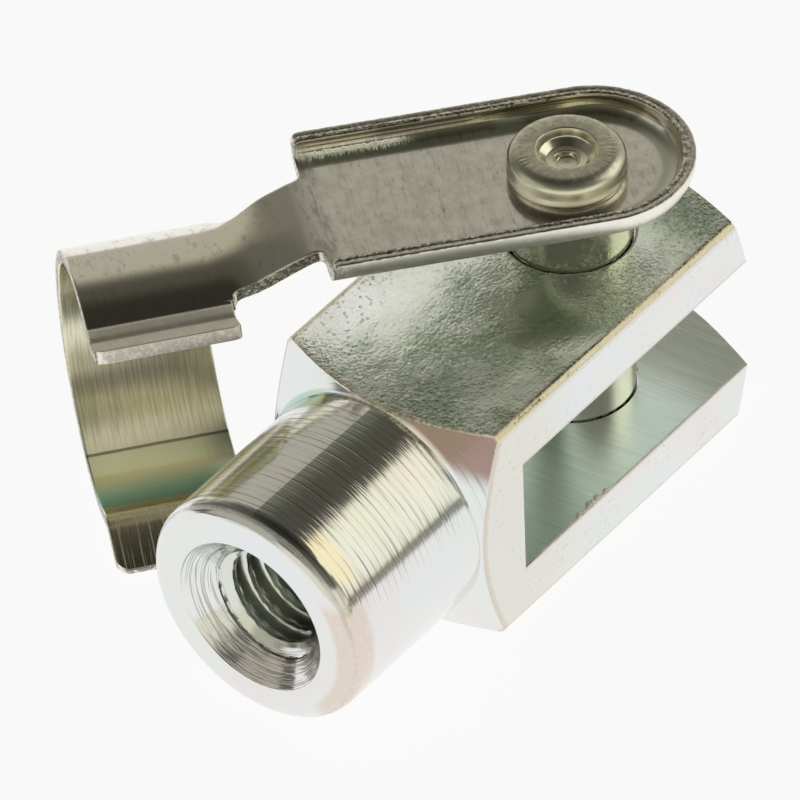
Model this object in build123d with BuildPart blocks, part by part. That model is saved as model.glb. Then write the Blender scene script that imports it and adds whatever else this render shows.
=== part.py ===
from build123d import *
import math
import os

# Fork head for a 4 mm rod thread, with its spring-clip pin, lying on its lower flat.
# Millimetres. The origin is where the pin's axis crosses the fork's axis: +X runs out of
# the fork's mouth, -X out of the threaded shank, and +Z is up along the pin.

# ---- fork: square bar, turned at both ends, slotted, cross bored, tapped ----
barWidth = 8.0
barEdgeRadius = 0.25
shankRadius = 3.9
shankEnd = 16.0
shankEdgeRadius = 0.6
shoulderStart = 9.7
shoulderSlope = 30.0
forkEnd = 5.0
endConeSlope = 26.6
endFaceRadius = 1.86
slotWidth = 4.2
slotDepth = 8.0
slotCutterRadius = 27.0
threadRadius = 2.0
countersinkRadius = 2.65
boreChamfer = 0.08

# ---- pin: plain shank, necked seat for the clip, formed button head ----
pinRadius = 2.0
pinClearance = 0.06
pinProtrusion = 1.86
pinTipChamfer = 0.35
neckRadius = 1.3
clipPlay = 0.02
buttonRadius = 1.85
buttonHeight = 0.97
buttonTopRounding = 0.48
buttonFootRounding = 0.2
dimpleRadius = 0.95
dimpleDepth = 0.5
dimpleFloorRadius = 0.4
dimplePitDepth = 0.18

# ---- clip: one piece of spring sheet, from the tray on the pin to the clasp ----
sheet = 0.42
swingAngle = 40.1
trayHalfWidth = 3.2
trayNoseOffset = 0.75
trayLength = 7.9
trayHeight = 1.03
trayBendRadius = 0.45
trayCornerRadius = 0.3
clipHoleClearance = 0.05
neckHalfWidth = 1.7
claspStart = 10.7
claspLength = 4.5
claspPitch = 1.3
claspGrip = 0.05
claspPreset = 1.0
claspReach = 63.0
lipBendRadius = 0.8
lipAngle = 28.0
upperLipLength = 1.1
lowerLipLength = 1.4
upperLipCornerRadius = 0.25
lowerLipCornerRadius = 0.45

halfBar = barWidth / 2
os.makedirs("parts", exist_ok=True)


# ======================= fork =======================
# The lathe leaves the shank, the shoulder cone and the end cone on the square bar.
barCornerReach = halfBar * math.sqrt(2)
shoulderCornerX = -shoulderStart + (barCornerReach - halfBar) * math.tan(math.radians(shoulderSlope))
shoulderFootX = -shoulderStart - (halfBar - shankRadius) * math.tan(math.radians(shoulderSlope))
endConeX = forkEnd - (barCornerReach - endFaceRadius) * math.tan(math.radians(endConeSlope))

with BuildPart() as fork:
    with BuildSketch(Plane.XZ):
        with BuildLine():
            Polyline(
                (-shankEnd, 0),
                (-shankEnd, shankRadius),
                (shoulderFootX, shankRadius),
                (shoulderCornerX, barCornerReach),
                (endConeX, barCornerReach),
                (forkEnd, endFaceRadius),
                (forkEnd, 0),
                close=True,
            )
        make_face()
    revolve(axis=Axis.X)
    fillet(fork.edges().filter_by(GeomType.CIRCLE).sort_by(Axis.X)[0], shankEdgeRadius)

    # square section of the drawn bar, kept inside the turned outline
    with BuildSketch(Plane.YZ.offset(-shankEnd)):
        RectangleRounded(barWidth, barWidth, barEdgeRadius)
    extrude(amount=shankEnd + forkEnd, mode=Mode.INTERSECT)

    # slot left by a disc cutter, so its floor is a shallow hollow
    slotFloorRise = slotCutterRadius - math.sqrt(slotCutterRadius**2 - halfBar**2)
    with BuildSketch(Plane.XY.offset(-slotWidth / 2)):
        with BuildLine():
            floorArc = ThreePointArc(
                (-slotDepth + slotFloorRise, -halfBar),
                (-slotDepth, 0),
                (-slotDepth + slotFloorRise, halfBar),
            )
            Polyline(floorArc @ 1, (forkEnd, halfBar), (forkEnd, -halfBar), floorArc @ 0)
        make_face()
    extrude(amount=slotWidth, mode=Mode.SUBTRACT)

    # cross bore for the pin, its outer rims broken
    with Locations(Plane.XY.offset(halfBar)):
        Hole(pinRadius + pinClearance, depth=barWidth)
    rims = fork.edges().filter_by(GeomType.CIRCLE).group_by(Axis.Z)
    chamfer(rims[0] + rims[-1], boreChamfer)

    # rod thread, countersunk, right through into the slot
    with BuildSketch(Plane.XZ):
        with BuildLine():
            Polyline(
                (-shankEnd, 0),
                (-shankEnd, countersinkRadius),
                (-shankEnd + countersinkRadius - threadRadius, threadRadius),
                (-slotDepth + slotFloorRise, threadRadius),
                (-slotDepth + slotFloorRise, 0),
                close=True,
            )
        make_face()
    revolve(axis=Axis.X, mode=Mode.SUBTRACT)

fork.part.label = "fork"
export_step(fork.part, "parts/fork.step")


# ======================= pin =======================
# The pin's tip is flush with the fork's lower flat, so the clip stands clear of the ear.
pinTipZ = -halfBar
pinShoulderZ = pinTipZ + barWidth + pinProtrusion
clipFloorZ = pinShoulderZ + clipPlay
buttonFootZ = clipFloorZ + sheet + clipPlay
buttonTopZ = buttonFootZ + buttonHeight

with BuildPart() as pin:
    with BuildSketch(Plane.XZ):
        with BuildLine():
            Polyline(
                (0, pinTipZ),
                (pinRadius - pinTipChamfer, pinTipZ),
                (pinRadius, pinTipZ + pinTipChamfer),
                (pinRadius, pinShoulderZ),
                (neckRadius, pinShoulderZ),
                (neckRadius, buttonFootZ),
                (buttonRadius, buttonFootZ),
                (buttonRadius, buttonTopZ),
                (dimpleRadius, buttonTopZ),
                (dimpleFloorRadius, buttonTopZ - dimpleDepth),
                (dimpleFloorRadius, buttonTopZ - dimpleDepth - dimplePitDepth),
                (0, buttonTopZ - dimpleDepth - dimplePitDepth),
                close=True,
            )
        make_face()
    revolve(axis=Axis.Z)
    topRims = pin.edges().filter_by(GeomType.CIRCLE).group_by(Axis.Z)[-1]
    fillet(topRims.sort_by(SortBy.RADIUS)[-1], buttonTopRounding)
    buttonEdges = pin.edges().filter_by(GeomType.CIRCLE).filter_by(lambda rim: rim.center().Z > clipFloorZ + sheet)
    footRims = buttonEdges.group_by(Axis.Z)[0]
    fillet(footRims.sort_by(SortBy.RADIUS)[-1], buttonFootRounding)

pin.part.label = "pin"
export_step(pin.part, "parts/pin.step")


# ======================= clip =======================
# The clip's own directions: local X from the pin to the clasp, local Y out of the clasp's
# mouth, local Z up from the underside of the tray.
swing = math.radians(swingAngle)
alongClip = Vector(-math.cos(swing), math.sin(swing), 0)
acrossClip = Vector(-math.sin(swing), -math.cos(swing), 0)
clipPlane = Plane(origin=(0, 0, clipFloorZ), x_dir=alongClip, z_dir=(0, 0, 1))

claspInner = shankRadius + claspGrip
claspCentre = -halfBar - claspPreset
pitch = math.radians(claspPitch)
claspPlane = Plane(
    origin=clipPlane.from_local_coords((claspStart, 0, claspCentre)),
    x_dir=acrossClip,
    z_dir=alongClip * math.cos(pitch) - Vector(0, 0, math.sin(pitch)),
)


def trayOutline(inset, length):
    """Tray seen from above: a round nose past the pin and two straight sides."""
    halfWidth = trayHalfWidth - inset
    with BuildSketch() as outline:
        with BuildLine():
            nose = ThreePointArc(
                (-trayNoseOffset, halfWidth),
                (-trayNoseOffset - halfWidth, 0),
                (-trayNoseOffset, -halfWidth),
            )
            Polyline(nose @ 1, (length, -halfWidth), (length, halfWidth), nose @ 0)
        make_face()
    return outline.sketch


def flatBand():
    """Neck section where it leaves the tray: a flat strip."""
    with BuildSketch() as band:
        with Locations((0, sheet / 2)):
            Rectangle(2 * neckHalfWidth, sheet)
    return band.sketch


def curvedBand(innerRadius):
    """Neck section bent to a radius about the sketch's origin."""
    innerRise = math.sqrt(innerRadius**2 - neckHalfWidth**2)
    outerRise = math.sqrt((innerRadius + sheet) ** 2 - neckHalfWidth**2)
    with BuildSketch() as band:
        with BuildLine():
            under = ThreePointArc((-neckHalfWidth, innerRise), (0, innerRadius), (neckHalfWidth, innerRise))
            over = ThreePointArc((neckHalfWidth, outerRise), (0, innerRadius + sheet), (-neckHalfWidth, outerRise))
            Line(under @ 1, over @ 0)
            Line(over @ 1, under @ 0)
        make_face()
    return band.sketch


# Tray: a pressed channel with one bend radius all round its nose.
with BuildPart() as tray:
    with BuildSketch(clipPlane):
        add(trayOutline(0, trayLength))
    extrude(amount=trayHeight)
    floorRim = tray.faces().sort_by(Axis.Z)[0].edges()
    fillet(floorRim.sort_by(Axis(clipPlane.origin, alongClip))[:-1], trayBendRadius + sheet)
    openEnd = tray.faces().sort_by(Axis(clipPlane.origin, alongClip))[-1]
    fillet(openEnd.edges().sort_by(Axis.Z)[-1], trayCornerRadius)

with BuildPart() as trayHollow:
    with BuildSketch(clipPlane.offset(sheet)):
        add(trayOutline(sheet, trayLength + sheet))
    extrude(amount=trayHeight)
    hollowRim = trayHollow.faces().sort_by(Axis.Z)[0].edges()
    fillet(hollowRim, trayBendRadius)

# Neck: a flat strip sloping down from the tray's floor, rolled to the clasp's curve at its foot.
neckRoot = Plane(clipPlane.from_local_coords((trayLength, 0, 0)), x_dir=acrossClip, z_dir=alongClip)

with BuildPart() as neck:
    with BuildSketch(neckRoot):
        add(flatBand())
    with BuildSketch(claspPlane):
        add(curvedBand(claspInner))
    loft(ruled=True)

# Clasp: a C open to one side, with both lips turned out to lead it on to the shank.
with BuildPart() as clasp:
    with BuildSketch(claspPlane):
        with BuildLine() as gripLine:
            CenterArc((0, 0), claspInner, claspReach, 360 - 2 * claspReach)
            for side, lipLength in ((1, upperLipLength), (-1, lowerLipLength)):
                bendTurn = 90 - claspReach + lipAngle
                bendCentre = (
                    (claspInner + lipBendRadius) * math.cos(math.radians(claspReach)),
                    side * (claspInner + lipBendRadius) * math.sin(math.radians(claspReach)),
                )
                bend = CenterArc(bendCentre, lipBendRadius, side * (claspReach - 180), side * bendTurn)
                heading = math.radians(lipAngle)
                Line(
                    bend @ 1,
                    bend @ 1 + Vector(lipLength * math.cos(heading), side * lipLength * math.sin(heading)),
                )
        claspSkin = offset(gripLine.line, amount=sheet, side=Side.RIGHT, closed=True, mode=Mode.PRIVATE)
        add(make_face(claspSkin.edges(), mode=Mode.PRIVATE))
    extrude(amount=claspLength)
    lipEnds = clasp.faces().sort_by(Axis(claspPlane.origin, acrossClip))[-2:]
    for lipEnd, cornerRadius in zip(lipEnds.sort_by(Axis.Z), (lowerLipCornerRadius, upperLipCornerRadius)):
        fillet(lipEnd.edges().sort_by(SortBy.LENGTH)[:2], cornerRadius)

with BuildPart() as clip:
    add(tray.part)
    add(trayHollow.part, mode=Mode.SUBTRACT)
    add(neck.part)
    add(clasp.part)
    with Locations(clipPlane.offset(sheet)):
        Hole(neckRadius + clipHoleClearance, depth=sheet)

clip.part.label = "clip"
export_step(clip.part, "parts/clip.step")
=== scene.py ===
import math
import bmesh
import bpy
import numpy as np
from mathutils import Matrix, Vector


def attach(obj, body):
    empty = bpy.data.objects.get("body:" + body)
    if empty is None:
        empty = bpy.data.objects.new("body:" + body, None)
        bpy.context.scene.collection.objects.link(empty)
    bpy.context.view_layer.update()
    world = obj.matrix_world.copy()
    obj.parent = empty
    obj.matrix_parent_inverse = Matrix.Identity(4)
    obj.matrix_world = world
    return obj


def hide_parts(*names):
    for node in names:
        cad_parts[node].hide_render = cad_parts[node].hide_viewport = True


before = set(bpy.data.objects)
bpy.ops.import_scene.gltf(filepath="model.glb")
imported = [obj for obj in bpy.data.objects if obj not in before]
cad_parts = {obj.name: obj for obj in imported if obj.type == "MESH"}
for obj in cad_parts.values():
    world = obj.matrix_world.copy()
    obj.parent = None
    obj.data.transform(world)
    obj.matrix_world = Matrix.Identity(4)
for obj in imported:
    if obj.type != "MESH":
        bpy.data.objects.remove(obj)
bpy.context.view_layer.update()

scene = bpy.context.scene
fork, pin, clip = (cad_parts[name] for name in ("fork", "pin", "clip"))
mm = 0.001
chain = np.concatenate  # joins arrays end to end


class Settings(dict):  # one piece's settings, read as c.width
    __getattr__ = dict.__getitem__


# ---- a shader bench: wires that add up like numbers, and one way to add any other node ----
class Wire:
    def __init__(self, bench, socket):
        self.bench, self.socket = bench, socket

    def maths(self, operation, *values):
        return self.bench.add("Math", enumerate(values), operation=operation)

    def __add__(self, other):
        return self.maths("ADD", self, other)

    def __sub__(self, other):
        return self.maths("SUBTRACT", self, other)

    def __rsub__(self, other):
        return self.maths("SUBTRACT", other, self)

    def __mul__(self, other):
        return self.maths("MULTIPLY", self, other)

    def __truediv__(self, other):
        return self.maths("DIVIDE", self, other)

    def __gt__(self, other):
        return self.maths("GREATER_THAN", self, other)

    def __lt__(self, other):
        return self.maths("LESS_THAN", self, other)

    def __abs__(self):
        return self.maths("ABSOLUTE", self)

    __radd__ = __add__
    __rmul__ = __mul__

    def power(self, exponent):
        return self.maths("POWER", self, exponent)

    def largest(self, other):
        return self.maths("MAXIMUM", self, other)

    def smallest(self, other):
        return self.maths("MINIMUM", self, other)

    def sine(self):
        return self.maths("SINE", self)

    def rise(self, low, high):  # 0 below low, 1 above high, smooth between
        return self.bench.add("MapRange", enumerate((self, low, high, 0.0, 1.0)),
                              interpolation_type="SMOOTHSTEP")

    def fall(self, low, high):  # 1 below low, 0 above high, smooth between
        return 1 - self.rise(low, high)

    def within(self, start, full, fullTo, end):  # 0, then 1 from full to fullTo, then 0
        return self.rise(start, full) * self.fall(fullTo, end)


class Bench:
    def __init__(self, tree):
        self.tree = tree
        tree.nodes.clear()

    def add(self, kind, sockets=(), out=0, **settings):
        node = self.tree.nodes.new("ShaderNode" + kind)
        for name, value in settings.items():
            setattr(node, name, value)
        for name, value in dict(sockets).items():
            if isinstance(value, Wire):
                self.tree.links.new(value.socket, node.inputs[name])
            else:
                node.inputs[name].default_value = value
        return Wire(self, node.outputs[out]) if len(node.outputs) else node

    def join(self, x, y, z):
        return self.add("CombineXYZ", {0: x, 1: y, 2: z})

    def split(self, vector):
        cut = self.add("SeparateXYZ", {0: vector}).socket.node
        return tuple(Wire(self, socket) for socket in cut.outputs)

    def place(self):  # object coordinates in millimetres
        spot = self.add("TexCoord", out=3)
        return self.split(self.add("VectorMath", {0: spot, "Scale": 1 / mm}, operation="SCALE"))

    def facing(self):  # the surface's own direction, in the object's axes
        return self.split(self.add("TexCoord", out=1))

    def grain(self, x, y, z, scale=1.0, detail=2.0, rough=0.5):
        return self.add("TexNoise", {"Vector": self.join(x, y, z), "Scale": scale, "Detail": detail,
                                     "Roughness": rough}, noise_dimensions="3D")

    def cells(self, x, y, z, scale):  # distance from the nearest scattered point
        return self.add("TexVoronoi", {"Vector": self.join(x, y, z), "Scale": scale}, feature="F1")

    def mix(self, share, first, second):  # from the first colour to the second by a share
        return self.add("Mix", {0: share, 6: colour4(first), 7: colour4(second)}, 2, data_type="RGBA")

    def coats(self, colour, *layers):  # colours laid over, each by its share
        for share, above in layers:
            colour = self.mix(share, colour, above)
        return colour

    def metal(self, colour, roughness, height, metallic=1.0):  # the height in millimetres, as a bump
        bump = self.add("Bump", {"Height": height, "Distance": mm, "Strength": 1.0})
        shader = self.add("BsdfPrincipled", {"Base Color": colour, "Roughness": roughness, "Metallic": metallic,
                                             "Normal": bump})
        self.add("OutputMaterial", {"Surface": shader})


def colour4(colour):
    # a colour with its alpha, or a wire as it is
    return colour if isinstance(colour, Wire) else (*colour, 1.0)


def newMaterial(name):
    # an empty material and the bench that fills it
    material = bpy.data.materials.new(name)
    material.use_nodes = True
    return material, Bench(material.node_tree)


def newObject(name, data):
    # an object of that data in the scene
    thing = bpy.data.objects.new(name, data)
    scene.collection.objects.link(thing)
    return thing


# ---- camera ----
print("camera")
cameraSet = Settings(
    azimuth=-51.0215, elevation=41.8496, roll=-2.3091, across=-5.25203, up=-2.22582,
    distance=328.68, focal=10703.34, frame=800, sensor=36.0, clip=(0.01, 10.0))


def placeCamera(c):
    # back = from the object to the camera; right and up are turned by the roll about it
    azimuth, elevation, roll = (math.radians(c[k]) for k in ("azimuth", "elevation", "roll"))
    level = math.cos(elevation)
    back = Vector((math.sin(azimuth) * level, -math.cos(azimuth) * level, math.sin(elevation)))
    sideways = (-back).cross(Vector((0, 0, 1))).normalized()
    upright = sideways.cross(-back)
    right = math.cos(roll) * sideways + math.sin(roll) * upright
    up = math.cos(roll) * upright - math.sin(roll) * sideways
    data = bpy.data.cameras.new("camera")
    data.sensor_width = c.sensor
    data.lens = c.focal * c.sensor / c.frame
    data.clip_start, data.clip_end = c.clip
    camera = newObject("camera", data)
    spot = (c.across * right + c.up * up + c.distance * back) * mm
    camera.matrix_world = Matrix.Translation(spot) @ Matrix((right, up, back)).transposed().to_4x4()
    scene.camera = camera


placeCamera(cameraSet)


# ---- surfaces on a grid, and the lines and random values that shape them ----
def gridFaces(rows, columns, wrapColumns=True, wrapRows=False):
    # quads between neighbouring grid points; a wrapped side's last line joins its first
    down, over = np.arange(rows - (not wrapRows)), np.arange(columns - (not wrapColumns))
    row, column = np.meshgrid(down, over, indexing="ij")
    nextRow, nextColumn = (row + 1) % rows, (column + 1) % columns
    corners = ((row, column), (row, nextColumn), (nextRow, nextColumn), (nextRow, column))
    return np.stack([a * columns + b for a, b in corners], -1).reshape(-1, 4)


def ladder(first, second):
    # quads between two rows of point numbers
    return np.stack([first[:-1], first[1:], second[1:], second[:-1]], -1)


def wrappedGrid(points, shift=0):
    # a grid whose rows are closed loops, and its two end loops filled across like ladders
    count, columns = points.shape[:2]
    number, half = np.arange(count * columns).reshape(count, columns), columns // 2
    ends = [ladder(loop[:half], loop[::-1][:half]) for loop in np.roll(number, shift, 1)[[0, -1]]]
    return points, chain([gridFaces(count, columns), *ends])


def closeSeams(mesh):
    # points in one place become one, faces turn outwards
    shell = bmesh.new()
    shell.from_mesh(mesh)
    bmesh.ops.remove_doubles(shell, verts=shell.verts, dist=1e-7)
    bmesh.ops.recalc_face_normals(shell, faces=shell.faces)
    shell.to_mesh(mesh)
    shell.free()


def addPiece(name, points, faces, material, body, finishSlot, crease=40.0):
    # points in millimetres, rows of four corners; edges sharper than the crease stay sharp
    mesh = bpy.data.meshes.new(name)
    mesh.from_pydata((points.reshape(-1, 3) * mm).tolist(), [], faces.tolist())
    closeSeams(mesh)
    mesh.shade_smooth()
    mesh.set_sharp_from_angle(angle=math.radians(crease))
    mesh.materials.append(material)
    piece = newObject(name, mesh)
    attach(piece, body)
    return piece


def unit(vectors):
    # each vector over its own length
    return vectors / np.linalg.norm(vectors, axis=-1, keepdims=True)


def turns(count):
    # angles at even steps round a circle
    return np.linspace(0, 2 * np.pi, count, endpoint=False)


def roundedLine(corners, radii, steps=7):
    # a polyline whose inner corners are swapped for arcs of the given radius, each in a few steps
    corners = np.array(corners, float)
    parts = [corners[:1]]
    for before, corner, after, radius in zip(corners[:-2], corners[1:-1], corners[2:], radii):
        inward = (before - corner) / np.linalg.norm(before - corner)
        outward = (after - corner) / np.linalg.norm(after - corner)
        half = math.acos(np.clip(inward @ outward, -1, 1)) / 2
        cut = radius / math.tan(half)
        share = np.linspace(0, 1, steps)[:, None]
        start, end = corner + inward * cut, corner + outward * cut
        middle = corner + (inward + outward) / np.linalg.norm(inward + outward) * radius / math.sin(half)
        arm = (1 - share) * (start - middle) + share * (end - middle)
        parts.append(middle + unit(arm) * radius)
    parts.append(corners[-1:])
    return chain(parts)


def finer(line, spacing):
    # points at even steps along a polyline, keeping its own points
    lengths = np.linalg.norm(np.diff(line, axis=0), axis=1)
    counts = np.maximum(1, np.ceil(lengths / spacing)).astype(int)
    run = chain([np.arange(n) / n + k for k, n in enumerate(counts)] + [[len(lengths)]])
    return np.stack([np.interp(run, np.arange(len(line)), line[:, k]) for k in range(line.shape[1])], -1)


def crumbs(points, seed, size, count=36):
    # smooth random values in space: a sum of waves of random heading, each about one size long
    picks = np.random.default_rng(seed)
    waves = unit(picks.normal(size=(count, 3))) * (2 * np.pi / size * picks.uniform(0.6, 1.7, (count, 1)))
    return np.sin(points @ waves.T + picks.uniform(0, 2 * np.pi, count)).sum(-1) / math.sqrt(count)


def ripple(angle, seed, low, high, count=14):
    # a sum of sine waves of random whole numbers of turns, so it closes on itself
    picks = np.random.default_rng(seed)
    rounds, phases = picks.integers(low, high, count), picks.uniform(0, 2 * np.pi, count)
    return np.sin(angle[..., None] * rounds + phases).mean(-1) * math.sqrt(count) / 2


def quarter(depth, radius):
    # how far a rounded corner has cut back at a depth from its edge
    inside = np.clip(radius - depth, 0, radius)
    return radius - np.sqrt(radius ** 2 - inside ** 2)


# ---- studio: pale floor, white surround, and a grey dome with two soft boxes ----
print("studio")
# the dome's ranges are of its height, or of how far it turns towards a direction (1 is straight at it)
studio = Settings(
    floorZ=-4.0, floorHalf=600.0, floorGlow=0.93, cardGrey=0.92,
    domeRadius=900.0, meridians=64, parallels=33, behindAzimuth=51.0,
    nearSide=0.15, side=0.13, sideTurn=(-0.6, -0.2), behind=0.46, behindTurn=(0.6, 0.8),
    overhead=0.078, overheadFrom=(0.6, 0.86), crown=0.03, crownFrom=(0.86, 0.96),
    lowNear=0.8, lowNearTurn=(0.1, 0.5), lowNearTo=(0.36, 0.5),
    edgeGlow=0.3, edgeTurn=0.7, edgeTo=(0.075, 0.105),
    lowColour=(1.0, 0.97, 0.82), highColour=(1.0, 0.97, 0.77), highFrom=(0.55, 0.85),
    boxes=[Settings(azimuth=127.0, elevation=29.6, halfWidth=24.0, halfHeight=23.6, glow=1.02),
           Settings(azimuth=305.0, elevation=24.0, halfWidth=26.0, halfHeight=20.0, glow=0.45)],
    boxSides=(0.78, 1.04), boxEnds=(0.86, 1.03))


def aim(azimuth, elevation):
    # a direction, azimuth from +Y towards +X
    a, e = math.radians(azimuth), math.radians(elevation)
    return Vector((math.sin(a) * math.cos(e), math.cos(a) * math.cos(e), math.sin(e)))


def makeFloor(c):
    # a wide square that glows where it is seen or mirrored, and a plain card for all other light
    reach, z = c.floorHalf * mm, c.floorZ * mm
    mesh = bpy.data.meshes.new("floor")
    corners = [(-reach, -reach, z), (reach, -reach, z), (reach, reach, z), (-reach, reach, z)]
    mesh.from_pydata(corners, [], [(0, 1, 2, 3)])
    floor = newObject("floor", mesh)
    material, bench = newMaterial("paleFloor")
    path = bench.add("LightPath").socket.node
    kinds = ("Camera", "Glossy", "Transmission")
    camera, glossy, through = (Wire(bench, path.outputs[f"Is {kind} Ray"]) for kind in kinds)
    shown = camera.largest(glossy).largest(through)
    card = bench.add("BsdfDiffuse", {"Color": (*[c.cardGrey] * 3, 1.0)})
    glow = bench.add("Emission", {"Color": (1.0, 1.0, 1.0, 1.0), "Strength": 1.0})
    blend = bench.add("MixShader", {0: shown * c.floorGlow, 1: card, 2: glow})
    bench.add("OutputMaterial", {"Surface": blend})
    mesh.materials.append(material)


def makeDome(c):
    # a sphere: grey sides, darker overhead, paler behind and low on the near side, then two soft boxes
    columns, rows = c.meridians, c.parallels
    longitude, latitude = np.meshgrid(turns(columns), np.linspace(-0.5, 0.5, rows) * np.pi)
    points = np.stack([np.cos(latitude) * np.cos(longitude), np.cos(latitude) * np.sin(longitude),
                       np.sin(latitude)], -1)
    points = points.reshape(-1, 3) * c.domeRadius * mm
    mesh = bpy.data.meshes.new("dome")
    mesh.from_pydata(points.tolist(), [], gridFaces(rows, columns)[:, [0, 3, 2, 1]].tolist())
    closeSeams(mesh)
    dome = newObject("dome", mesh)
    dome.visible_camera = False
    dome.visible_shadow = False
    material, bench = newMaterial("greyDome")
    toward = bench.add("VectorMath", {0: bench.add("TexCoord", out=3)}, operation="NORMALIZE")

    def along(direction):
        # how far the dome's point lies in a direction
        product = bench.add("VectorMath", {0: toward, 1: direction}, operation="DOT_PRODUCT")
        return Wire(bench, product.socket.node.outputs["Value"])

    x, y, z = bench.split(toward)
    backward = along(aim(c.behindAzimuth, 0.0))
    sideGrey = c.nearSide + (c.side - c.nearSide) * backward.rise(*c.sideTurn)
    sideGrey = sideGrey + (c.behind - c.side) * backward.rise(*c.behindTurn)
    above = c.overhead + (c.crown - c.overhead) * z.rise(*c.crownFrom)
    glow = above + (sideGrey - above) * z.fall(*c.overheadFrom)
    lowNear = along(aim(c.behindAzimuth + 180, 0.0)).rise(*c.lowNearTurn) * z.fall(*c.lowNearTo)
    glow = glow + lowNear * (c.lowNear - glow)
    tableEdge = z.fall(*c.edgeTo) * (along(aim(c.boxes[0].azimuth, 0.0)) > c.edgeTurn)
    glow = glow + tableEdge * (c.edgeGlow - glow)
    for box in c.boxes:
        middle = aim(box.azimuth, box.elevation)
        sideways = middle.cross(Vector((0, 0, 1))).normalized()
        upward = sideways.cross(middle)
        depth = along(middle)
        width, height = (math.tan(math.radians(box[k])) for k in ("halfWidth", "halfHeight"))
        sides = abs(along(sideways) / depth).fall(*(width * k for k in c.boxSides))
        inside = sides * abs(along(upward) / depth).fall(*(height * k for k in c.boxEnds))
        glow = glow + inside * (depth > 0) * (box.glow - glow)
    warmth = bench.mix(z.rise(*c.highFrom), c.lowColour, c.highColour)
    shader = bench.add("Emission", {"Color": warmth, "Strength": glow})
    bench.add("OutputMaterial", {"Surface": shader})
    mesh.materials.append(material)


def makeWorld():
    # an even white surround
    world = bpy.data.worlds.new("surround")
    world.use_nodes = True
    scene.world = world
    bench = Bench(world.node_tree)
    glow = bench.add("Background", {"Color": (1.0, 1.0, 1.0, 1.0), "Strength": 1.0})
    bench.add("OutputWorld", {"Surface": glow})


scene.view_settings.view_transform = "Standard"
makeWorld()
makeFloor(studio)
makeDome(studio)


# ---- fork: zinc plate over turned, milled and drawn faces ----
print("fork")
block = Settings(barHalf=4.0, slotHalf=2.1, shoulder=-9.7, coneSlope=0.57735)
# ranges are where a mark begins and is full (or, for a fall, starts to end and is gone), in millimetres:
# x along the fork, y to the far side, z upwards, rim and radius from its axis, width from an edge
forkFinish = Settings(
    **block,
    flatFrom=(3.91, 3.98), skinFrom=(3.94, 3.99), slotWall=(2.105, 2.12), slotBack=-8.05, behindSlot=-7.0,
    milledFacing=(0.5, 0.9), endFacing=(0.5, 0.7), sinkFacing=(0.85, 0.95),
    boreRadius=(2.05, 2.1), boreFrom=(-15.5, -14.8), boreTo=-7.5, sinkRadius=(2.66, 2.7), sinkTo=(-15.2, -15.1),
    warmTo=(-8.0, -4.0), coneRadius=(3.93, 4.1), roseTop=(2.9, 3.9), roseNear=(-0.4, 0.2),
    rootRadius=(3.5, 3.8, 3.98, 4.08), rootFrom=(-10.8, -10.0), seaFar=(1.0, 2.4), seaTop=(0.0, 1.0),
    shankRadius=(3.0, 3.3), linedTop=(0.9, 2.1), coneLinedTop=(-1.5, 1.0), coneLinedNear=(-2.4, -1.4),
    paleFar=(1.4, 3.2), paleTo=(-6.2, -4.6), barFrom=-9.3,
    wornWidth=(0.15, 0.185), wornWider=(-8.0, -5.5), brownWidth=(0.24, 0.32), shoulderWidth=(0.05, 0.24),
    shoulderFar=(0.6, 1.6), slotWidth=(0.05, 0.11), slotWornFrom=-7.72,
    rimTo=(-15.15, -14.8), rimRadius=(3.15, 3.4), rimNear=(-2.7, -2.2), rimLow=(-3.2, -2.7), rimHigh=(1.6, 2.1),
    patchTo=(-14.75, -14.6), patchFrom=(-15.6, -15.4), patchNear=(-1.9, -1.4), patchTop=(2.2, 2.6),
    # painted light among these colours: the groove colour is dirt and painted shade, the top's pale colour a
    # painted highlight and reflection, peach a painted warm reflection on the end rim, cream a worn edge with a
    # painted highlight, and the bore's colour a slight painted shade
    yellow=(0.86, 0.85, 0.77), green=(0.8, 0.85, 0.81), pink=(0.86, 0.81, 0.81), blue=(0.82, 0.85, 0.87),
    rose=(0.36, 0.23, 0.19), sea=(0.46, 0.64, 0.55), cream=(0.97, 0.9, 0.68), brown=(0.6, 0.5, 0.38),
    peach=(0.78, 0.68, 0.6), yellowPatch=(0.93, 0.83, 0.58), groove=(0.3, 0.3, 0.24),
    topGreen=(0.74, 0.84, 0.7), topPale=(0.94, 1.0, 0.98), topDark=(0.43, 0.54, 0.41),
    sideWarm=(0.8, 0.78, 0.71), slotTeal=(0.72, 0.82, 0.78), slotPale=(0.86, 0.93, 0.88),
    bore=(0.75, 0.78, 0.72),
    feed=0.26, feedWander=0.05, turnDepth=0.0016, ringDepth=0.005, pitDepth=0.038, millDepth=0.0042)


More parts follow.
